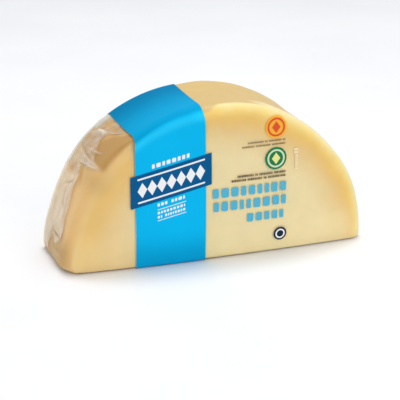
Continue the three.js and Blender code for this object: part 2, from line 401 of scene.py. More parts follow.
def closed_form(angles, face_rings, edge_rings, rind_rings):
    """The pack's whole surface: points, faces, and how much of each point is the rind's."""
    half = [(face_ring(i / face_rings), 0.0) for i in range(1, face_rings + 1)]
    for i in range(1, edge_rings + 1):
        half.append((edge_ring(i / edge_rings * math.pi / 2), i / edge_rings))
    half += [(rind_ring(1 - i / rind_rings), 1.0) for i in range(1, rind_rings + 1)]
    rings = [(-1, *ring) for ring in half] + [(1, *ring) for ring in reversed(half[:-1])]

    pole = face_ring(0)
    blocks = [ring_points(np.zeros(1), -1, pole)]
    blocks += [ring_points(angles, side, ring) for side, ring, _ in rings]
    blocks.append(ring_points(np.zeros(1), 1, pole))
    rind_share = np.concatenate([[0], np.repeat([share for _, _, share in rings], len(angles)), [0]])

    count = len(angles)
    last = 1 + len(rings) * count
    here = np.arange(count)
    after = (here + 1) % count
    faces = [(0, 1 + a, 1 + b) for a, b in zip(here, after)]
    for ring in range(len(rings) - 1):
        near, far = 1 + ring * count, 1 + (ring + 1) * count
        faces += [(near + a, far + a, far + b, near + b) for a, b in zip(here, after)]
    near = last - count
    faces += [(last, near + b, near + a) for a, b in zip(here, after)]
    return np.concatenate(blocks), faces, rind_share


def lifted(points, faces, distance):
    """The points moved outwards along their normals, and kept off the floor."""
    moved = points + vertex_normals(points, faces) * np.reshape(distance, (-1, 1))
    moved[:, 2] = np.maximum(moved[:, 2], FLOOR_CLEARANCE)
    return moved


def sheet_solid(rows, lift, thickness):
    """A grid of points as a thin closed sheet, lifted off what it lies on."""
    deep, wide, _ = rows.shape
    points = rows.reshape(-1, 3)
    grid = np.arange(deep * wide).reshape(deep, wide)
    quads = [
        (grid[i, j], grid[i, j + 1], grid[i + 1, j + 1], grid[i + 1, j])
        for i in range(deep - 1)
        for j in range(wide - 1)
    ]
    normals = vertex_normals(points, quads)
    lift, thickness = np.reshape(lift, (-1, 1)), np.reshape(thickness, (-1, 1))
    outer = points + normals * (lift + thickness)
    inner = points + normals * lift
    faces = list(quads) + [tuple(len(points) + c for c in reversed(q)) for q in quads]
    border = list(grid[0, :]) + list(grid[1:, -1]) + list(grid[-1, -2::-1]) + list(grid[-2:0:-1, 0])
    for a, b in zip(border, border[1:] + border[:1]):
        faces.append((b, a, a + len(points), b + len(points)))
    return np.concatenate([outer, inner]), faces


def front_points(x, z, lift):
    """Points on the printed face, lifted along its normal."""
    step = SLOPE_STEP
    slope_x = (half_depth_at(x + step, z) - half_depth_at(x - step, z)) / (2 * step)
    slope_z = (half_depth_at(x, z + step) - half_depth_at(x, z - step)) / (2 * step)
    normal = np.stack([-slope_x, -np.ones_like(x), -slope_z], axis=-1)
    normal /= np.linalg.norm(normal, axis=-1, keepdims=True)
    return np.stack([x, -half_depth_at(x, z), z], axis=-1) + normal * lift


class Plates:
    """Thin closed plates of print that follow the pack's front, gathered into one mesh."""

    def __init__(self, lift):
        self.lift = lift
        self.points = []
        self.faces = []

    def lay(self, flat, tops, sides):
        """Add a plate from its (x, z) places, the faces of its top, and the pairs along its rims."""
        top = sum(len(block) for block in self.points)
        under = top + len(flat)
        for lift in (self.lift + INK_THICKNESS, self.lift):
            self.points.append(front_points(flat[:, 0], flat[:, 1], lift))
        for corners in tops:
            self.faces.append(tuple(top + corner for corner in corners))
            self.faces.append(tuple(under + corner for corner in reversed(corners)))
        self.faces += [(top + a, under + a, under + b, top + b) for a, b in sides]

    def disc(self, outline, rings):
        """A plate with a star-shaped outline of (x, z) points, listed anticlockwise from the front."""
        outline = np.asarray(outline, dtype=float)
        centre = outline.mean(axis=0)
        count = len(outline)
        flat = [centre[None, :]] + [lerp(centre, outline, (i + 1) / rings) for i in range(rings)]
        tops = []
        sides = []
        rim = 1 + (rings - 1) * count
        for i in range(count):
            j = (i + 1) % count
            tops.append((0, 1 + i, 1 + j))
            for near in range(1, rim, count):
                tops.append((near + i, near + count + i, near + count + j, near + j))
            sides.append((rim + i, rim + j))
        self.lay(np.concatenate(flat), tops, sides)

    def hoop(self, outer, inner):
        """A plate between two outlines with the same number of points."""
        count = len(outer)
        pairs = [(i, (i + 1) % count) for i in range(count)]
        tops = [(i, count + i, count + j, j) for i, j in pairs]
        sides = [(count + i, count + j) for i, j in pairs] + [(j, i) for i, j in pairs]
        self.lay(np.concatenate([inner, outer]), tops, sides)

    def piece(self, name, material):
        make_piece(name, np.concatenate(self.points), self.faces, material, sharp_edges=True)


def circle(x, z, radius):
    turn = np.arange(CIRCLE_POINTS) / CIRCLE_POINTS * 2 * math.pi
    return np.stack([x + radius * np.cos(turn), z + radius * np.sin(turn)], axis=-1)


def rounded_bar(left, right, middle, height, slope=0.0, corner=0.2):
    """The outline of a bar with rounded corners, slanted by slope about its left end."""
    radius = corner * min(height, right - left)
    outline = []
    corners = [(right, 1, 1), (left, -1, 1), (left, -1, -1), (right, 1, -1)]
    for quarter, (x, towards_x, towards_z) in enumerate(corners):
        for turn in np.linspace(quarter * math.pi / 2, (quarter + 1) * math.pi / 2, 4):
            px = x - towards_x * radius + radius * math.cos(turn)
            pz = towards_z * (height / 2 - radius) + radius * math.sin(turn)
            outline.append((px, middle + pz + slope * (px - left)))
    return outline


def lozenge(x, z, half_width, half_height, slope=0.0):
    """A slanted diamond with a few points along each side."""
    tips = np.array([(1, 0), (0, 1), (-1, 0), (0, -1)], dtype=float) * (half_width, half_height)
    outline = []
    for tip, following in zip(tips, np.roll(tips, -1, axis=0)):
        for share in (0, 0.25, 0.5, 0.75):
            outline.append(lerp(tip, following, share))
    outline = np.array(outline)
    return np.stack([x + outline[:, 0], z + outline[:, 1] + slope * outline[:, 0]], axis=-1)


def densely(corners, spacing=2.0):
    """The outline through the corners, with points about every spacing."""
    outline = []
    corners = np.asarray(corners, dtype=float)
    for here, following in zip(corners, np.roll(corners, -1, axis=0)):
        count = max(1, round(np.linalg.norm(following - here) / spacing))
        outline += [lerp(here, following, i / count) for i in range(count)]
    return np.array(outline)


# ---- materials


def srgb(red, green, blue):
    """A colour as shown on screen, 0 to 255, in the linear form that shaders take."""
    def linear(value):
        value /= 255
        return value / 12.92 if value <= 0.04045 else ((value + 0.055) / 1.055) ** 2.4
    return (linear(red), linear(green), linear(blue), 1.0)


class Shader:
    """A material with one Principled shader and short calls for the nodes that feed it."""

    def __init__(self, name, **sockets):
        self.material = bpy.data.materials.new(name)
        self.material.use_nodes = True
        self.tree = self.material.node_tree
        self.principled = self.tree.nodes["Principled BSDF"]
        for socket, value in sockets.items():
            self.put(value, self.principled.inputs[socket.replace("_", " ")])

    def put(self, value, socket):
        """Link another node's output to a socket, or set the socket to a constant."""
        if isinstance(value, bpy.types.NodeSocket):
            self.tree.links.new(value, socket)
        else:
            socket.default_value = value

    def node(self, kind, **inputs):
        made = self.tree.nodes.new(kind)
        for name, value in inputs.items():
            self.put(value, made.inputs[name.replace("_", " ")])
        return made

    def feed(self, socket, source):
        self.put(source, self.principled.inputs[socket])

    def attribute(self, name):
        made = self.node("ShaderNodeAttribute")
        made.attribute_name = name
        return made.outputs["Fac"]

    def noise(self, size_mm, detail=3.0, roughness=0.5):
        """Noise in the object's own coordinates, with features of about the given size."""
        place = self.node("ShaderNodeTexCoord").outputs["Object"]
        mapping = self.node("ShaderNodeMapping", Vector=place, Scale=[1 / (size_mm * MM)] * 3)
        settings = {"Scale": 1.0, "Detail": detail, "Roughness": roughness}
        made = self.node("ShaderNodeTexNoise", Vector=mapping.outputs["Vector"], **settings)
        return made.outputs["Fac"]

    def drift(self, low, high, size_mm, detail=3.0, roughness=0.5, margin=0.25):
        """Noise that drifts between two values, and reaches them more often with a wide margin."""
        noise = self.noise(size_mm, detail, roughness)
        limits = {"From_Min": margin, "From_Max": 1 - margin, "To_Min": low, "To_Max": high}
        return self.node("ShaderNodeMapRange", Value=noise, **limits).outputs["Result"]

    def math(self, operation, first, second):
        made = self.node("ShaderNodeMath")
        made.operation = operation
        self.put(first, made.inputs[0])
        self.put(second, made.inputs[1])
        return made.outputs["Value"]

    def mix(self, share, first, second, blend="MIX"):
        """Two colours mixed by a share. Each of the three is a socket or a constant."""
        made = self.node("ShaderNodeMix")
        made.data_type = "RGBA"
        made.blend_type = blend
        self.put(share, made.inputs["Factor"])
        self.put(first, made.inputs[6])
        self.put(second, made.inputs[7])
        return made.outputs[2]

    def tint(self, colour, grey):
        """A colour made a little lighter or darker by a grey that hovers about one."""
        return self.mix(1.0, colour, grey, blend="MULTIPLY")

    def ramp(self, source, stops):
        """A colour that runs through the stops, given as (position, colour)."""
        made = self.node("ShaderNodeValToRGB", Fac=source)
        band = made.color_ramp
        while len(band.elements) < len(stops):
            band.elements.new(0.5)
        for element, (position, colour) in zip(band.elements, stops):
            element.position = position
            element.color = colour
        return made.outputs["Color"]

    def bump(self, height, distance_mm):
        settings = {"Strength": BUMP_STRENGTH, "Distance": distance_mm * MM}
        made = self.node("ShaderNodeBump", Height=height, **settings)
        self.feed("Normal", made.outputs["Normal"])


# The colour of a cut face from its rim inwards, as (millimetres, (red, green, blue)).
FACE_RAMP_SPAN = 44.0
# The right face's pale stops at the rim are a painted highlight where the rounded edge catches light.
RIGHT_FACE = [
    (0, (246, 232, 186)), (3, (249, 227, 152)), (6, (250, 216, 128)), (10, (243, 202, 112)),
    (13, (240, 199, 118)), (17, (238, 202, 134)), (25, (240, 214, 156)), (36, (243, 224, 172)),
]
# The left face's ramp is darker, partly painted shade where that side of the face rolls away.
LEFT_FACE = [
    (0, (236, 194, 130)), (4, (240, 202, 138)), (8, (241, 203, 134)), (12, (239, 198, 120)),
    (19, (239, 199, 123)), (26, (240, 207, 142)), (34, (241, 213, 156)), (43, (242, 218, 166)),
]
LOW_RIGHT = srgb(252, 233, 180)
LOW_LEFT = srgb(247, 217, 152)
# RIND and LEFT_RIND differ by painted light: the left end's is lighter to offset the weaker light on that
# end.
RIND = srgb(213, 183, 119)
LEFT_RIND = srgb(240, 198, 132)
# Painted shade: the rind's front part left of the band, and the film's shadows and hollows on it.
SHADED_RIND = srgb(191, 148, 84)
# Painted shade on the foot of the left rind, down by the floor.
FOOT_SHADE = srgb(205, 166, 100)

FILM_WHITE = srgb(218, 222, 210)
FILM_BLUSH = srgb(220, 204, 184)
FILM_CREAM = srgb(252, 237, 207)
# The crest white is partly a painted highlight; the crease colour is painted shadow.
CREST_WHITE = srgb(246, 238, 222)
CREASE_SHADE = srgb(166, 140, 104)
CLEAR_FILM_ALPHA = 0.015
LINE_ALPHA = 0.85

# The band's blues, and the inks: each one's colour, and the one that it drifts towards.
BAND_BLUE = srgb(14, 190, 246)
# BAND_SHADE is painted shade, and BAND_GLEAM a painted highlight.
BAND_SHADE = srgb(2, 124, 172)
BAND_GLEAM = srgb(40, 206, 255)
DARK_BLUE = (srgb(12, 94, 148), srgb(10, 84, 138))
WHITE = (srgb(250, 251, 252), srgb(238, 243, 247))
LIGHT_BLUE = (srgb(86, 186, 219), srgb(74, 178, 215))
TAN = (srgb(138, 118, 86), srgb(126, 106, 76))
BROWN = (srgb(104, 88, 62), srgb(92, 78, 56))
AMBER = (srgb(252, 186, 60), srgb(248, 172, 50))
ORANGE_RED = (srgb(228, 84, 42), srgb(220, 72, 36))
GREEN = (srgb(28, 128, 76), srgb(22, 112, 66))
PALE_GREEN = (srgb(214, 232, 196), srgb(200, 222, 180))
PALE_YELLOW = (srgb(240, 238, 150), srgb(232, 228, 132))
NAVY = (srgb(16, 40, 66), srgb(12, 32, 56))
CREAM = (srgb(255, 236, 196), srgb(250, 228, 184))
FLOOR_TONES = (srgb(241, 243, 247), srgb(246, 247, 250))
INK_DRIFT = 0.35


def face_colour(shader, inward, colours):
    stops = [(distance / FACE_RAMP_SPAN, srgb(*colour)) for distance, colour in colours]
    return shader.ramp(inward, stops)


def cheese_material():
    shader = Shader(
        "provolone",
        Specular_IOR_Level=0.2,
        Subsurface_Weight=0.15,
        Subsurface_Radius=(1.0, 0.6, 0.25),
        Subsurface_Scale=0.003,
        Coat_Weight=0.08,
        Coat_Roughness=0.25,
    )
    drift = shader.drift(-0.03, 0.03, 18, detail=4, margin=0.3)
    inward = shader.math("ADD", shader.attribute("inward"), drift)
    left = shader.attribute("left")
    right_face = face_colour(shader, inward, RIGHT_FACE)
    left_face = face_colour(shader, inward, LEFT_FACE)
    face = shader.mix(left, right_face, left_face)
    face = shader.mix(shader.attribute("low"), face, shader.mix(left, LOW_RIGHT, LOW_LEFT))
    rind = shader.mix(left, RIND, LEFT_RIND)
    colour = shader.mix(shader.attribute("rind"), face, rind)
    # Painted shade on the left rind's foot and on the rind's front part under the film.
    colour = shader.mix(shader.attribute("foot"), colour, FOOT_SHADE)
    colour = shader.mix(shader.attribute("painted_shade"), colour, SHADED_RIND)
    cloud = shader.drift(0.965, 1.035, 11, detail=5, roughness=0.6)
    shader.feed("Base Color", shader.tint(colour, cloud))
    dimples = shader.math("MULTIPLY", shader.noise(2.2), 0.2)
    shader.bump(shader.math("ADD", shader.noise(10, detail=2), dimples), 0.2)
    shader.feed("Roughness", shader.drift(0.45, 0.56, 6, margin=0.3))
    return shader.material


def film_colours(shader):
    grain = shader.drift(0.95, 1.05, 2.5, detail=4)
    upper = shader.mix(shader.attribute("blush"), FILM_WHITE, FILM_BLUSH)
    return shader.tint(shader.mix(shader.attribute("lower"), upper, FILM_CREAM), grain)


def film_material():
    shader = Shader("clear_film", Roughness=0.22, Specular_IOR_Level=0.4)
    crest, crease_shadow = shader.attribute("crest"), shader.attribute("crease_shadow")
    # Creases take painted shadow; the crests' white is partly a painted highlight.
    colour = shader.mix(crest, film_colours(shader), CREST_WHITE)
    shader.feed("Base Color", shader.mix(crease_shadow, colour, CREASE_SHADE))
    veil = shader.math("MULTIPLY", shader.attribute("milk"), shader.drift(0.88, 1.12, 6))
    lines = shader.math("MULTIPLY", shader.math("MAXIMUM", crest, crease_shadow), LINE_ALPHA)
    covered = shader.math("MAXIMUM", veil, lines)
    shader.feed("Alpha", shader.math("MAXIMUM", covered, CLEAR_FILM_ALPHA))
    return shader.material


def pleat_material():
    shader = Shader("pleated_film", Roughness=0.2, Specular_IOR_Level=0.5)
    shader.feed("Base Color", film_colours(shader))
    milk = shader.math("MULTIPLY", shader.attribute("milk"), shader.drift(0.85, 1.15, 3))
    shader.feed("Alpha", milk)
    return shader.material


def print_material(name, ink, gloss=0.15):
    """Ink on film, with a faint ripple."""
    shader = Shader(name, Roughness=0.38, Specular_IOR_Level=gloss)
    drift = shader.drift(0.0, INK_DRIFT, 30, detail=2)
    shader.feed("Base Color", shader.mix(drift, *ink))
    shader.bump(shader.noise(7, detail=2), 0.12)
    return shader.material


def band_material():
    shader = Shader("blue_print", Roughness=0.4, Specular_IOR_Level=0.01)
    blue = shader.mix(shader.attribute("shade"), BAND_BLUE, BAND_SHADE)
    blue = shader.mix(shader.attribute("gleam"), blue, BAND_GLEAM)
    shader.feed("Base Color", shader.tint(blue, shader.drift(0.97, 1.03, 22)))
    shader.bump(shader.noise(9, detail=2), 0.12)
    return shader.material


def floor_material():
    shader = Shader("studio_floor", Roughness=0.7)
    tone = shader.drift(0.0, 1.0, 120, detail=2, margin=0.3)
    shader.feed("Base Color", shader.mix(tone, *FLOOR_TONES))
    return shader.material


# ---- the cheese

# Outlines on the unrolled left rind: (millimetres up from the foot, depth along Y).
# Where painted shade darkens the rind's front part, which faces up and to the left under the film.
SHADED_RIND_OUTLINE = [
    (86, 0), (89.8, -1), (94.8, -8.5), (100.4, -17.5), (105, -20), (105, -40), (74.2, -40), (74.2, -22),
    (74.4, -13), (77, -8), (80.2, -5), (83.5, -1.5),
]
UPPER_GATHERS_OUTLINE = [
    (76, 30), (76, -13), (82.7, -6.7), (86.3, -0.6), (90.7, 2.7), (95.7, -6.4), (100.8, -16.5),
    (104, -19), (104, 22), (95, 24), (84, 28),
]
# The path of a painted shadow cast by the doubled film's edge.
NOTCH_SHADOW_PATH = [(67.6, -1.5), (64.2, -4.2), (60.6, -8.6), (57.4, -11.6)]
MILKY_OUTLINE = [
    (68.1, 12.6), (67.9, 4.6), (66.3, -0.2), (63.4, -1.4), (62, -5.8), (57.4, -6.4), (51.8, -7),
    (46.8, -9), (41.9, -12), (38.5, -11.8), (33.1, -12.2), (30, -13.6), (24.9, -15), (20.2, -14),
    (18.9, -13.4), (14, -4.5), (14.6, 2), (14, 8), (9, 11), (4.5, 13), (3.6, 29), (30, 31), (60, 30),
    (84, 30), (108, 29), (108, -15), (100.8, -9.5), (96.7, -3), (93.6, -2.2), (90.7, 0), (86.3, 0.6),
    (82.7, -3.2), (79.1, -8), (75.6, -12.5), (73.8, -26), (72.4, -22), (71, -14), (69.6, -5.4), (68.8, 0.6),
]

# Spots on the unrolled rind: where they are, their reach up and across, and their strength.
# Painted shade in hollows of the film and under the leaf, on the cheese.
SHADED_HOLLOWS = [
    ((61.5, 11), (4, 7), 0.6),
    ((82, 17), (4, 5), 0.35),
    ((98, -4), (4, 9), 0.45),
    ((95.5, 10), (4.5, 6), 0.35),
]
SHADE_UNDER_LEAF = ((65.5, -21), (9, 18))
# Strengths of the painted shade under the upper gathers, in the notch's shadow and under the leaf.
UPPER_GATHERS_SHADE = 0.45
NOTCH_SHADOW = 0.5
UNDER_LEAF_SHADE = 0.4

# How much of a place has to be the rind's for the rind's colour to set in.
RIGHT_RIND_START = 0.7
# Beside the band the rind's tan sets in sooner: painted shade on the slope where the band draws the rind
# in.
BESIDE_BAND_RIND_START = 0.4
RIGHT_RIND_SOFTNESS = 0.14
LEFT_RIND_START = 0.1
LEFT_RIND_FULL = (0.2, 0.6)  # at the foot and from half way up
# How strongly the painted rim highlight keeps the rind's colour off the right front edge.
RIM_HIGHLIGHT = 0.75

# How far the lower part of the face turns lighter, and how far the face's colours shift inwards beside the
# band, where the painted rim highlight gives way.
LOW_ON_RIGHT = 0.62
LOW_ON_RIGHT_RIM = 0.186
LOW_ON_LEFT = 0.7
BESIDE_BAND_SHIFT = 4.0

# How finely the cheese is divided, and how much more finely left of the band.
CHEESE_DIRECTIONS = 380
CHEESE_RINGS = {"face_rings": 34, "edge_rings": 12, "rind_rings": 22}
CHEESE_FINENESS = 1.6
CHEESE_WAVES = [(0.16, 46, 3), (0.05, 15, 4)]  # (height, length, seed)


def spots_at(up, across, spots):
    """The strength of each spot at each place."""
    return [strength * at_spot(up, across, place, reach) for place, reach, strength in spots]


def painted_shade_share(points, rim):
    """How much painted shade each place of the cheese has: on the rind's front part, under the upper
    gathers, in the notch's shadow, under the leaf and in the hollows.
    """
    x, y, _ = points.T
    up = up_the_rind(points)
    shade_end = lerp(5.3, 3.7, fade(x, -70, -56))
    shading = inside_share(up, y, SHADED_RIND_OUTLINE, softness=5.0)
    shading *= fade(rim, shade_end, shade_end - 3.7)
    shading += UPPER_GATHERS_SHADE * inside_share(up, y, UPPER_GATHERS_OUTLINE, softness=3.0)
    shading += NOTCH_SHADOW * along_path(up, y, NOTCH_SHADOW_PATH, width=2.2)
    shading += UNDER_LEAF_SHADE * at_spot(up, y, *SHADE_UNDER_LEAF) * fade(rim, 18, 8)
    return np.clip(shading + sum(spots_at(up, y, SHADED_HOLLOWS)), 0, 1)


def cheese_colours(points, rind_share):
    """The shares that the cheese's material mixes its colours by."""
    x, y, z = points.T
    rim = from_rim(points)
    left = fade(x, -20, -50)
    beside_band = fade(x, 8, -8) * fade(x, BAND_RIGHT - 2, BAND_RIGHT)
    # Painted shade beside the band's right side, where the band draws the rind in.
    near_band = fade(x, 2, -8) * (x > BAND_RIGHT - 2)
    rind_start = lerp(RIGHT_RIND_START, BESIDE_BAND_RIND_START, near_band)
    # Painted highlight: on the right front edge the face's pale rim colour reaches onto the rind.
    rim_highlight = RIM_HIGHLIGHT * fade(x, 20, 34) * fade(y, -15, -22)
    on_right_rind = fade(rind_share, rind_start, rind_start + RIGHT_RIND_SOFTNESS) * (1 - rim_highlight)
    on_left_rind = fade(rind_share, LEFT_RIND_START, lerp(*LEFT_RIND_FULL, fade(z, 0, 50)))
    low_on_right = lerp(LOW_ON_RIGHT_RIM, LOW_ON_RIGHT, fade(rim, 2, 16))
    return {
        "inward": np.clip((rim + BESIDE_BAND_SHIFT * beside_band) / FACE_RAMP_SPAN, 0, 1),
        "left": left,
        "low": fade(z, 34, 8) * lerp(low_on_right, LOW_ON_LEFT, left),
        "rind": lerp(on_right_rind, on_left_rind, left),
        # Painted shade on the left rind's foot, down by the floor.
        "foot": left * fade(z, 29, 11) * fade(rim, 6.6, 0),
        "painted_shade": painted_shade_share(points, rim),
    }


def build_cheese():
    angles = spaced_directions(
        CHEESE_DIRECTIONS,
        lambda x, z: np.where(x < BAND_LEFT, CHEESE_FINENESS, 1),
    )
    points, faces, rind_share = closed_form(angles, **CHEESE_RINGS)
    unevenness = sum(height * waves(points, length, seed) for height, length, seed in CHEESE_WAVES)
    unevenness = np.clip(unevenness, -CHEESE_UNEVENNESS, CHEESE_UNEVENNESS)
    body = lifted(points, faces, CHEESE_LIFT + unevenness * fade(points[:, 2], 0, 6))
    colours = cheese_colours(points, rind_share)
    return make_piece("cheese", body, faces, cheese_material(), colours)


# ---- the film


def fold_height(up, across):
    """How far the folds of the gathered film stand out, as in the CAD."""
    height = np.zeros_like(up)
    for half_width, along in FOLDS:
        corners = [(math.radians(degrees) * HALF_WIDTH, y, top) for degrees, y, top in along]
        for start, end in zip(corners, corners[1:]):
            away, share = away_from_line(up, across, start, end)
            ridge = lerp(start[2], end[2], share) * np.exp(-((away / half_width) ** 2))
            height = np.maximum(height, ridge)
    return height


def unrolled(points):
    """The points with their place on the unrolled rind, for patterns that run along the folds."""
    up = up_the_rind(points)
    return np.stack([up, points[:, 1], np.zeros_like(up)], axis=-1)


def gathered_place(points):
    """Where each point lies on the left end's rind; the right end is the same, turned half round."""
    up, across = up_the_rind(points), points[:, 1]
    on_right = points[:, 0] > 0
    return np.where(on_right, math.pi * HALF_WIDTH - up, up), np.where(on_right, -across, across)


# Marks on the gathered film, placed on the unrolled left rind as (width, strength, path).
# A crease is a painted shadow line where the film tucks in; a crest is a light one where it stands out,
# partly the doubled film's milkier edge and partly a painted highlight.
CREASE_SHADOWS = [
    (0.9, 1.0, [(77, 20), (76, 15.2), (75.3, 9), (74.8, 3), (74.5, -5), (74.3, -13)]),
    (0.8, 0.7, [(67.4, 6), (67.6, 1.5), (68.4, -3), (69.9, -9)]),
    (0.8, 0.55, [(79.2, 9.2), (79.6, 5.6), (80, 2.6)]),
    (1.0, 0.4, [(81.4, 0), (80.6, -3.2), (81.3, -7)]),
    (0.8, 0.5, [(84, 14), (84.4, 12), (85.2, 9.6)]),
    (0.8, 0.45, [(88.6, 18.6), (91, 16.2), (93, 11.6), (94.2, 6.5)]),
    (1.0, 0.6, [(51, 9.6), (53.6, 4), (55.6, 0.4), (57.6, -0.8)]),
    (0.8, 0.4, [(64.8, 2.2), (62.6, 0.6), (59.4, 2)]),
    (1.1, 0.45, [(49, 6), (45.9, 4.9), (42.6, 3.3), (39.6, 1.4), (37.6, -2.8)]),
    (0.9, 0.35, [(45.8, -0.6), (44.1, -2.1), (42.6, -4.6)]),
    (0.9, 0.4, [(33, -11.6), (30.5, -13.6), (27, -15.6), (23, -16)]),
    (1.0, 0.9, [(20.9, 7), (20.2, 1.5), (19.9, -4), (20.1, -9.4), (19.4, -14.6)]),
    (1.2, 0.7, [(17, 8.6), (13.8, 6.4), (10.6, 4)]),
    (0.9, 0.45, [(7, 11), (9.2, 0), (9.9, -12), (10.6, -23)]),
]
CRESTS = [
    (1.0, 0.75, [(75.6, 18), (74.3, 11), (73.6, 4), (73.4, -3), (73.4, -11), (73.6, -20), (74, -28)]),
    (0.9, 0.9, [(67.6, 13.5), (68.6, 8), (68.9, 2), (69.6, -4), (71, -13.1), (72.4, -21.4), (73.8, -27.6)]),
    (0.9, 0.65, [(78.5, 8), (78.7, 2), (79.6, -5), (80.4, -10), (81.7, -15)]),
    (1.5, 1.0, [(86.4, 16.8), (88.9, 15.4), (90.7, 12.6), (91.8, 7.2), (92.5, 1.4), (93.7, -2.6)]),
    (0.9, 0.75, [(93.7, -1), (95.4, -4.8), (97, -7.6), (99.4, -12), (101.6, -16)]),
    (1.1, 0.7, [(67.4, 9), (66.2, 4), (64.4, 0.2), (62.2, -3.4)]),
    (1.8, 0.45, [(62, -3.4), (57, -5), (52.9, -4.6), (48, -5.4), (43, -8), (38.4, -8.6)]),
    (1.6, 0.45, [(38.4, -8.6), (34.6, -7), (31, -9), (27.4, -11.4), (24, -12)]),
    (1.1, 0.6, [(18.4, 8.4), (18.2, 2), (18.3, -5), (18.6, -12.4)]),
    (1.4, 0.4, [(17.6, -11), (15.6, -6.6), (13.6, -1)]),
    (0.8, 0.3, [(7.8, 14), (8.7, 2.9), (8.4, -9.7), (8.6, -21)]),
]
# Spots where the film clings to the cheese and is clear, and where it is clouded.
CLINGING_SPOTS = [
    ((61.6, 12), (3.8, 7), 0.8),
    ((64.6, 17), (1.6, 3), 0.5),
    ((71, 15.5), (1.6, 2.4), 0.4),
    ((98, 11.4), (3.2, 6), 0.9),
    ((93.6, 10), (2.4, 3.6), 0.6),
    ((101.2, 9.6), (1.6, 3), 0.8),
    ((88.6, 20.8), (1.6, 2.6), 0.6),
    ((82.6, 18), (3.6, 4.6), 0.55),
    ((98.4, -3.6), (3.4, 5), 0.9),
    ((97.4, 3), (3, 6), 0.8),
    ((16, 1.5), (6, 6), 0.6),
    ((77.4, -8), (2.4, 4), 0.5),
]
CLOUDED_SPOTS = [
    ((99, 22.6), (6, 4.4), 0.65),
    ((93.6, 21.4), (3, 3.4), 0.6),
    ((89.4, 9.6), (2, 3.2), 0.8),
    ((91.4, 4.6), (1.6, 3.4), 0.9),
    ((86.2, 5.4), (2.2, 2.6), 0.5),
    ((95.7, 6.5), (0.6, 0.8), 1.0),
    ((96.5, 3.5), (0.6, 0.8), 1.0),
    ((57.4, 4.6), (1.6, 1.6), 0.3),
    ((15.8, -4.4), (2, 3.4), 0.3),
]

# Pleats of doubled film, as (height, milk, crest, foot): the crest is the raised crisp edge, the
# foot is where it lies down, and both run through places on the unrolled left rind.
PLEATS = [
    (0.8, 0.12,
     [(76.4, 21), (75.2, 16), (74.1, 10), (73.5, 3), (73.4, -4), (73.4, -11.5), (73.6, -19), (73.9, -27)],
     [(70.6, 21), (69.6, 16), (69, 9), (69, 3), (69.6, -3), (70.6, -10), (72, -18.4), (73.8, -27)]),
    (0.6, 0.15,
     [(78.5, 8), (78.7, 2), (79.3, -3), (80, -8), (80.8, -12), (81.7, -15)],
     [(77.2, 8), (77.4, 2), (78.2, -3), (79.2, -8), (80.3, -12), (81.5, -15)]),
    (0.8, 0.3,
     [(86, 17), (88.9, 15.6), (90.9, 12.6), (92, 7.2), (92.8, 1.4), (93.9, -2.6)],
     [(85.2, 13), (86.4, 12), (87.8, 9), (88.6, 5), (90.6, 0.4), (93.2, -2.6)]),
    (0.25, 0.1,
     [(67.6, 10), (66.3, 4), (64.4, 0), (62, -4.4), (57.4, -5.6), (51.8, -5.1), (46.8, -6.8), (41.9, -9.4)],
     [(67.9, 12), (64.5, 7), (62, 3), (59.6, -1.6), (57.2, -2), (51.8, -1.6), (46.9, -3.6), (42.3, -6.6)]),
    (0.25, 0.08,
     [(43, -9.4), (38.5, -8.6), (33.1, -9), (30, -11.4), (24.9, -13.8), (20.8, -13.6)],
     [(43, -7), (38.5, -4.4), (33.4, -5.2), (29.6, -7.8), (25.4, -8.8), (22.4, -8.8)]),
    (0.7, 0.14,
     [(21.2, 6.4), (20.7, 1), (20.6, -3.4), (20.8, -8), (20.2, -13.8)],
     [(24.6, 6.4), (24, 1), (23.6, -3.4), (23.2, -8), (21.6, -13.6)]),
    (0.6, 0.06,
     [(18.8, 8.6), (18.6, 3.6), (18.7, -1.7), (18.9, -7), (19, -13)],
     [(17, 8.6), (15.6, 3.6), (14, -1.7), (14.6, -7), (18.4, -13)]),
    (0.45, 0.2,
     [(93.5, -0.6), (95, -4.2), (97, -7.6), (99.4, -12), (101.8, -16.4)],
     [(94.8, 0.6), (96.4, -3), (98.4, -6.6), (100.6, -11), (102.4, -15.7)]),
]

# How finely the pleats and the film are divided, and how much more finely left of the band.
PLEAT_ROWS = 44
PLEAT_COLUMNS = 9
FILM_DIRECTIONS = 560
FILM_RINGS = {"face_rings": 16, "edge_rings": 10, "rind_rings": 46}
FILM_FINENESS = 3.4
FINE_HEIGHT = 3.0  # the height above which the film is that fine

# How far the gathered film stands off: its folds as a share of the CAD's, the rest in millimetres.
FOLD_SHARE = 0.8
SLACK = 0.3  # the even part of the milky film
UPPER_RIPPLE = 0.25
LOWER_RIPPLE = 0.1
CRINKLE = 0.08
CREST_RISE = 0.45
CREASE_DEPTH = 0.4

# How milky the gathered film is.
UPPER_MILK = 0.44
LOWER_MILK = 0.68
LOWER_BACK_MILK = 0.74
MILK_LIMITS = (0.3, 0.8)
CLOUDED_MILK = 0.85
CREST_MILK = 0.3  # what a pleat's crest adds
FOOT_HAZE = 0.1
STREAKS = (0.05, 0.005)  # in the upper gathers and lower down
BLOTCHES = 0.03
SLOW_SHARE = 0.4  # of the slowly fading outline, lower down

RIGHT_GATHERS = 64.0  # where the gathers of the right end begin along X
UPPER_GATHERS = 66.0  # how far up the rind the whiter, upper gathers begin


def lines_at(up, across, lines):
    """The strength of each line at each place."""
    return [strength * along_path(up, across, path, width) for width, strength, path in lines]


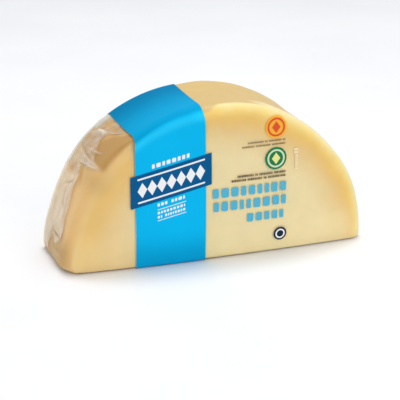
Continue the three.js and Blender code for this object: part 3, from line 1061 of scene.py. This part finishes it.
def film_marks(up, across):
    """The shares of crease with its painted shadow, crest with its partly painted highlight, clinging and
    clouded film at each place.
    """
    marks = {
        "crease_shadow": lines_at(up, across, CREASE_SHADOWS),
        "crest": lines_at(up, across, CRESTS),
        "clinging": spots_at(up, across, CLINGING_SPOTS),
        "clouded": spots_at(up, across, CLOUDED_SPOTS),
    }
    return {name: np.max(strengths, axis=0) for name, strengths in marks.items()}


def film_relief(points, milk, marks):
    """How far the gathered film stands off the pack's form: folds, long ripples and crinkles."""
    x, _, z = points.T
    flat = unrolled(points)
    at_left_end = fade(x, BAND_LEFT - 1, BAND_LEFT - 7)
    at_right_end = fade(x, RIGHT_GATHERS, RIGHT_GATHERS + 12)
    ripple_height = lerp(UPPER_RIPPLE, LOWER_RIPPLE, fade(flat[:, 0], 62, 50))
    ripples = ripple_height * ridges(flat, 14, seed=11, stretch=(0.25, 1.2, 1))
    crinkles = CRINKLE * ridges(flat, 6, seed=12, stretch=(0.6, 1, 1))
    relief = FOLD_SHARE * fold_height(flat[:, 0], flat[:, 1]) + milk * (SLACK + ripples + crinkles)
    relief += CREST_RISE * marks["crest"] - CREASE_DEPTH * marks["crease_shadow"]
    return (at_left_end + at_right_end) * fade(z, 0, 12) * np.maximum(relief, 0)


def veil(up, across):
    """How much of the milky film covers each place: crisp above, and fading slowly lower down."""
    crisp = inside_share(up, across, MILKY_OUTLINE, softness=2.0)
    slow = inside_share(up, across, MILKY_OUTLINE, softness=16.0)
    return lerp(lerp(crisp, slow, SLOW_SHARE), crisp, fade(up, 54, 62))


def milk_density(points, across, lower, marks):
    """How milky the gathered film is, with streaks along the folds."""
    flat = unrolled(points)
    streaks = lerp(*STREAKS, lower) * waves(flat, 9, seed=21, stretch=(0.2, 1.1, 1))
    blotches = BLOTCHES * waves(flat, 14, seed=22)
    density = lerp(UPPER_MILK, lerp(LOWER_MILK, LOWER_BACK_MILK, fade(across, 14, 22)), lower)
    density = np.clip(density + streaks + blotches, *MILK_LIMITS)
    return lerp(density * (1 - marks["clinging"]), CLOUDED_MILK, marks["clouded"])


def build_film():
    angles = spaced_directions(
        FILM_DIRECTIONS,
        lambda x, z: np.where((x < BAND_LEFT) & (z > FINE_HEIGHT), FILM_FINENESS, 1),
    )
    points, faces, rind_share = closed_form(angles, **FILM_RINGS)
    x = points[:, 0]
    up, across = gathered_place(points)
    gathered = fade(x, BAND_LEFT + 1, BAND_LEFT - 0.5) + fade(x, RIGHT_GATHERS, RIGHT_GATHERS + 10)
    clear_rim = np.where(x > 0, fade(across, 22, 14), 1)
    veiled = veil(up, across) * gathered * clear_rim * fade(rind_share, 0.15, 0.65)
    on_rind = fade(rind_share, 0.3, 0.9)
    marks = film_marks(up, across)
    body = lifted(points, faces, on_rind * film_relief(points, veiled, marks))
    lower = fade(up, UPPER_GATHERS, UPPER_GATHERS - 8)
    foot_haze = FOOT_HAZE * fade(up, 9, 4) * gathered
    colours = {
        "milk": np.maximum(veiled * milk_density(points, across, lower, marks), foot_haze),
        "blush": fade(up, UPPER_GATHERS, UPPER_GATHERS + 16) * fade(across, 20, 12),
        "lower": lower,
        "crease_shadow": marks["crease_shadow"] * gathered * on_rind,
        "crest": marks["crest"] * gathered * on_rind,
    }
    return make_piece("film", body, faces, film_material(), colours)


def build_pleats():
    """The pleats as thin closed leaves that lie on the film."""
    points, faces, milk = [], [], []
    to_crest = np.linspace(0, 1, PLEAT_COLUMNS)
    taper = tapered(np.linspace(0, 1, PLEAT_ROWS), 0.04)[:, None]
    for height, density, crest, foot in PLEATS:
        crest, foot = smooth_path(crest, PLEAT_ROWS), smooth_path(foot, PLEAT_ROWS)
        grid = lerp(foot[:, None, :], crest[:, None, :], to_crest[None, :, None])
        up, across = grid.reshape(-1, 2).T
        surface = rind_point(up, across)
        lift = film_relief(surface, veil(up, across), film_marks(up, across)) + LAYER_GAP
        rise = PLEAT_THICKNESS + height * taper * to_crest**2.2
        rows = surface.reshape(PLEAT_ROWS, PLEAT_COLUMNS, 3)
        leaf, leaf_faces = sheet_solid(rows, lift, rise)
        start = sum(len(block) for block in points)
        points.append(leaf)
        faces += [tuple(start + corner for corner in face) for face in leaf_faces]
        leaf_milk = (density + CREST_MILK * to_crest**6) * taper
        milk.append(np.tile(leaf_milk.reshape(-1), 2))
    points = np.concatenate(points)
    up = up_the_rind(points)
    colours = {
        "milk": np.concatenate(milk),
        "blush": fade(up, UPPER_GATHERS, UPPER_GATHERS + 16),
        "lower": fade(up, UPPER_GATHERS, UPPER_GATHERS - 8),
    }
    return make_piece("film_pleats", points, faces, pleat_material(), colours, sharp_edges=True)


# ---- the printed band

BAND_BRIDGING = 1.8  # how far the taut band stands off the rounded edge at its left side
BAND_FOOT_SHADE = 0.38

# How finely the band is divided: across, and up each face, round each edge and to mid-rind.
BAND_COLUMNS = 47
BAND_FACE_ROWS = 90
BAND_EDGE_ROWS = 8
BAND_RIND_ROWS = 21
ROW_SPREAD = 1.15  # the power that brings the rows of a face closer together at its foot
HALVINGS = 40  # rounds of the search for a direction
SEARCH_ANGLES = (20, 170)


def solve_direction(x, side, ring):
    """The direction in the upper half in which a ring of the profile has the given x."""
    low, high = [np.full_like(x, math.radians(degrees)) for degrees in SEARCH_ANGLES]
    for _ in range(HALVINGS):
        middle = (low + high) / 2
        too_far_right = ring_points(middle, side, ring)[..., 0] > x
        low, high = np.where(too_far_right, middle, low), np.where(too_far_right, high, middle)
    return (low + high) / 2


def ring_row(x, side, ring):
    """The points of one ring of the profile at the given places along X."""
    return ring_points(solve_direction(x, side, ring), side, ring)


def band_half(x, side):
    """The rows of the strap for its columns at x: up one face, round the edge, to mid-rind."""
    face_end = ring_row(x, side, face_ring(1))[:, 2]
    rows = []
    for share in np.linspace(0, 1, BAND_FACE_ROWS):
        z = lerp(BAND_FOOT, face_end, share**ROW_SPREAD)
        rows.append(np.stack([x, side * half_depth_at(x, z, side), z], axis=-1))
    narrower = x - BAND_NARROWING * (x - BAND_LEFT) / (BAND_RIGHT - BAND_LEFT)
    for i in range(1, BAND_EDGE_ROWS + 1):
        share = i / BAND_EDGE_ROWS
        rows.append(ring_row(lerp(x, narrower, smooth(share)), side, edge_ring(share * math.pi / 2)))
    for across in np.linspace(1, 0, BAND_RIND_ROWS + 1)[1:]:
        rows.append(ring_row(narrower, side, rind_ring(across)))
    return rows


def build_band():
    x = np.linspace(BAND_LEFT, BAND_RIGHT, BAND_COLUMNS)
    rows = np.array(band_half(x, -1) + band_half(x, 1)[-2::-1])
    flat = rows.reshape(-1, 3)
    # On the front, the taut band's left part bridges the rounded edge.
    x, y, z = flat.T
    bridging = BAND_BRIDGING * bump_at(from_rim(flat), 3.2, 4, 9) * (y < 0)
    bridging *= fade(x, BAND_LEFT + 14, BAND_LEFT) * fade(z, HUB, HUB + 20)
    points, faces = sheet_solid(rows, BAND_LIFT + bridging, BAND_THICKNESS)
    _, y, z = points.T
    rim = from_rim(points)
    # Painted shade over the top towards the back and towards the foot, and a painted highlight, the gleam,
    # below the front top edge.
    over_top = fade(rim, 3.4, 1.6) * lerp(0.5, 1, fade(y, -24, 28))
    near_foot = BAND_FOOT_SHADE * fade(z, 27, 3)
    colours = {
        "shade": np.where(z > 60, over_top, near_foot),
        "gleam": bump_at(rim, 5.4, 3, 5) * (y < 0) * (z > 60),
    }
    return make_piece("printed_band", points, faces, band_material(), colours, sharp_edges=True)


# ---- the print

WORD_GAP = 0.8  # as a share of one block's room
BLOCK_GAP = 0.34
BLOCK_WIDTHS = (0.75, 1.25)  # the least and most, against the mean

# Lines of blocks: (left, right, middle, height, words, seed).
TITLE = [
    (-5.4, 47.0, 45.4, 6.2, (9,), 1),
    (-4.6, 47.0, 36.3, 6.2, (9,), 2),
    (18.2, 45.4, 26.6, 5.6, (5,), 3),
]
UPPER_CAPTION = [(18.4, 44.4, 76.6, 1.0, (11, 2, 9, 2), 0), (14.4, 44.4, 74.1, 1.0, (9, 11, 10), 0)]
LOWER_CAPTION = [(11.2, 44.8, 55.2, 1.4, (11, 2, 9, 8), 0), (7.2, 44.8, 52.6, 1.4, (9, 9, 2, 11), 0)]

# The print on the band, placed by its distance above or below the slanted panel.
ABOVE_LEFT = -45.2
ABOVE_RIGHT = -19.8
ABOVE_RISE = 3.0
ABOVE_HEIGHT = 2.7
BELOW_LEFT = -42.0
BELOW_RIGHT = -23.4
BELOW_LINES = [(2.4, 2.0, (3, 4)), (7.8, 1.6, (9,)), (10.6, 1.6, (2, 8))]  # (drop, height, words)
RULE_DROPS = (5.6, 12.9)
RULE_HEIGHT = 0.45

# The panel's border: two fine lines and a row of lozenges between them.
BORDER_OFFSET = 7.6
BORDER_INSET = 4.5
BORDER_HEIGHT = 1.1
LOZENGE_COUNT = 7
LOZENGE_INSET = 7.6
LOZENGE_SIZE = (3.1, 5.0)  # half its width and height

SEAL_X = 37.7
ORANGE_SEAL_Z = 85.2
GREEN_SEAL_Z = 64.6
SEAL_RADIUS = 7.4
SEAL_HOOP = (0.82, 0.66)  # as shares of the seal's radius
SEAL_DIAMOND = (0.4, 0.52)
NAVY_PLACE = (41.6, 12.6)
NAVY_RADIUS = 4.5
NAVY_HOOP = (3.3, 2.3)

# The column of cream marks, each as (left, bottom, height).
CREAM_RIGHT = 53.2
CREAM_MARKS = [(50.4, 66.2, 1.5), (50.4, 68.2, 1.5)] + [(51.2, 55.4 + 1.5 * i, 1.1) for i in range(7)]


def slanted(x, z_at_left):
    """A height that follows the panel's slant, from its height at the panel's left end."""
    return z_at_left + PANEL_SLOPE * (x - PANEL_LEFT)


def build_panel():
    plates = Plates(PANEL_LIFT)
    corners = [
        (PANEL_RIGHT, PANEL_RIGHT_TOP),
        (PANEL_LEFT, PANEL_LEFT_TOP),
        (PANEL_LEFT, PANEL_LEFT_TOP - PANEL_HEIGHT),
        (PANEL_RIGHT, PANEL_RIGHT_TOP - PANEL_HEIGHT),
    ]
    plates.disc(densely(corners), rings=12)
    plates.piece("dark_panel", print_material("dark_blue_print", DARK_BLUE, gloss=0.03))


def build_panel_motif():
    """A plain border of lozenges between two fine lines, following the panel's slant."""
    plates = Plates(MOTIF_LIFT)
    middle = PANEL_LEFT_TOP - PANEL_HEIGHT / 2
    left, right = PANEL_LEFT + BORDER_INSET, PANEL_RIGHT - BORDER_INSET
    for offset in (BORDER_OFFSET, -BORDER_OFFSET):
        bar = rounded_bar(left, right, 0, BORDER_HEIGHT, corner=0.4)
        outline = [(x, z + slanted(x, middle + offset)) for x, z in bar]
        plates.disc(densely(outline, 3.0), rings=2)
    for x in np.linspace(PANEL_LEFT + LOZENGE_INSET, PANEL_RIGHT - LOZENGE_INSET, LOZENGE_COUNT):
        plates.disc(lozenge(x, slanted(x, middle), *LOZENGE_SIZE, PANEL_SLOPE), rings=2)
    plates.piece("panel_lozenges", print_material("white_print", WHITE))


def line_of_blocks(plates, left, right, middle, height, words, slope=0.0, seed=0):
    """A line of print as plain blocks from left to right; words gives how many run together."""
    random = np.random.default_rng(100 * seed + sum(words))
    room = (right - left) / (sum(words) + WORD_GAP * (len(words) - 1))
    at = left
    for word in words:
        widths = random.uniform(*BLOCK_WIDTHS, word)
        for width in widths / widths.sum() * word * room:
            end = at + width - BLOCK_GAP * room
            plates.disc(rounded_bar(at, end, middle + slope * (at - left), height, slope), rings=1)
            at += width
        at += WORD_GAP * room


def build_band_marks():
    """Small white print above and below the panel."""
    plates = Plates(BAND_LIFT + BAND_THICKNESS + LAYER_GAP)
    above = slanted(ABOVE_LEFT, PANEL_LEFT_TOP + ABOVE_RISE)
    line_of_blocks(plates, ABOVE_LEFT, ABOVE_RIGHT, above, ABOVE_HEIGHT, (8,), PANEL_SLOPE)
    below = slanted(BELOW_LEFT, PANEL_LEFT_TOP - PANEL_HEIGHT)
    for drop, height, words in BELOW_LINES:
        line_of_blocks(plates, BELOW_LEFT, BELOW_RIGHT, below - drop, height, words, PANEL_SLOPE)
    for drop in RULE_DROPS:
        rule = rounded_bar(BELOW_LEFT, BELOW_RIGHT, below - drop, RULE_HEIGHT, PANEL_SLOPE)
        plates.disc(rule, rings=1)
    plates.piece("band_strokes", bpy.data.materials["white_print"])


def build_lines(name, lines, material):
    """Level lines of print on the film."""
    plates = Plates(INK_LIFT)
    for left, right, middle, height, words, seed in lines:
        line_of_blocks(plates, left, right, middle, height, words, seed=seed)
    plates.piece(name, material)


def build_seal(name, z, ground, hoop, centre):
    """A round seal: a disc of one colour, a hoop within its edge and a plain diamond."""
    base = Plates(INK_LIFT)
    base.disc(circle(SEAL_X, z, SEAL_RADIUS), rings=5)
    base.piece(name, print_material(name + "_print", ground))
    detail = Plates(OVERPRINT_LIFT)
    detail.hoop(*[circle(SEAL_X, z, SEAL_RADIUS * share) for share in SEAL_HOOP])
    detail.piece(name + "_hoop", print_material(name + "_hoop_print", hoop))
    diamond = Plates(OVERPRINT_LIFT)
    diamond.disc(lozenge(SEAL_X, z, *[SEAL_RADIUS * share for share in SEAL_DIAMOND]), rings=2)
    diamond.piece(name + "_diamond", print_material(name + "_diamond_print", centre))


def build_small_marks():
    navy = Plates(INK_LIFT)
    navy.disc(circle(*NAVY_PLACE, NAVY_RADIUS), rings=4)
    navy.piece("navy_disc", print_material("navy_print", NAVY))
    pale = Plates(OVERPRINT_LIFT)
    pale.hoop(*[circle(*NAVY_PLACE, radius) for radius in NAVY_HOOP])
    pale.piece("disc_hoop", bpy.data.materials["white_print"])
    cream = Plates(INK_LIFT)
    for left, bottom, height in CREAM_MARKS:
        top = bottom + height
        corners = [(CREAM_RIGHT, bottom), (CREAM_RIGHT, top), (left, top), (left, bottom)]
        cream.disc(densely(corners, 1.0), rings=1)
    cream.piece("cream_marks", print_material("cream_print", CREAM))


# ---- studio

CAMERA_AZIMUTH = math.radians(19.16)
CAMERA_ELEVATION = math.radians(19.91)
CAMERA_DISTANCE = 946.0
CAMERA_TARGET = (-2.2, 0.0, 29.6)
CAMERA_FOCAL_LENGTH = 129.1
CAMERA_SENSOR = 36.0
CAMERA_REACH = 100.0  # metres

# Lights: (name, place, diameter, watts), in metres.
LIGHTS = [("overhead", (0.1, 0.2, 1.4), 0.5, 9), ("front", (0.5, -1.2, 0.9), 0.9, 3.6)]
LIGHT_AIM = (0, 0, 0.04)
WORLD_STRENGTH = 0.64
FLOOR_REACH = 4.0


def build_camera():
    data = bpy.data.cameras.new("camera")
    data.lens = CAMERA_FOCAL_LENGTH
    data.sensor_width = CAMERA_SENSOR
    data.clip_end = CAMERA_REACH
    camera = add_object("camera", data)
    level = math.cos(CAMERA_ELEVATION)
    x, y = -math.sin(CAMERA_AZIMUTH) * level, -math.cos(CAMERA_AZIMUTH) * level
    back = Vector((x, y, math.sin(CAMERA_ELEVATION)))
    camera.location = (Vector(CAMERA_TARGET) + back * CAMERA_DISTANCE) * MM
    camera.rotation_euler = back.to_track_quat("Z", "Y").to_euler()
    bpy.context.scene.camera = camera


def build_light(name, place, diameter, watts):
    data = bpy.data.lights.new(name, "AREA")
    data.shape = "DISK"
    data.size = diameter
    data.energy = watts
    light = add_object(name, data)
    light.location = place
    light.rotation_euler = (Vector(place) - Vector(LIGHT_AIM)).to_track_quat("Z", "Y").to_euler()


def build_surroundings():
    """The even light from all round, and the floor."""
    world = bpy.data.worlds.new("studio")
    world.use_nodes = True
    backdrop = world.node_tree.nodes["Background"]
    backdrop.inputs["Color"].default_value = (1, 1, 1, 1)
    backdrop.inputs["Strength"].default_value = WORLD_STRENGTH
    bpy.context.scene.world = world
    bpy.context.scene.view_settings.view_transform = "Standard"

    corners = [(-1, -1, 0), (1, -1, 0), (1, 1, 0), (-1, 1, 0)]
    mesh = bpy.data.meshes.new("floor")
    mesh.from_pydata((np.array(corners) * FLOOR_REACH).tolist(), [], [(0, 1, 2, 3)])
    mesh.materials.append(floor_material())
    floor = add_object("floor", mesh)


# ---- everything together

build_camera()
cheese = build_cheese()
film = build_film()
pleats = build_pleats()
band = build_band()
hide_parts("cheese_in_film")
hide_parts("cheese_in_film")
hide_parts("label_band")
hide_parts("cheese_in_film")
build_panel()
build_panel_motif()
build_band_marks()
build_lines("title_bars", TITLE, print_material("light_blue_print", LIGHT_BLUE))
build_lines("upper_caption_bars", UPPER_CAPTION, print_material("tan_print", TAN))
build_lines("lower_caption_bars", LOWER_CAPTION, print_material("brown_print", BROWN))
build_seal("orange_seal", ORANGE_SEAL_Z, AMBER, ORANGE_RED, ORANGE_RED)
build_seal("green_seal", GREEN_SEAL_Z, GREEN, PALE_GREEN, PALE_YELLOW)
build_small_marks()
for light in LIGHTS:
    build_light(*light)
build_surroundings()
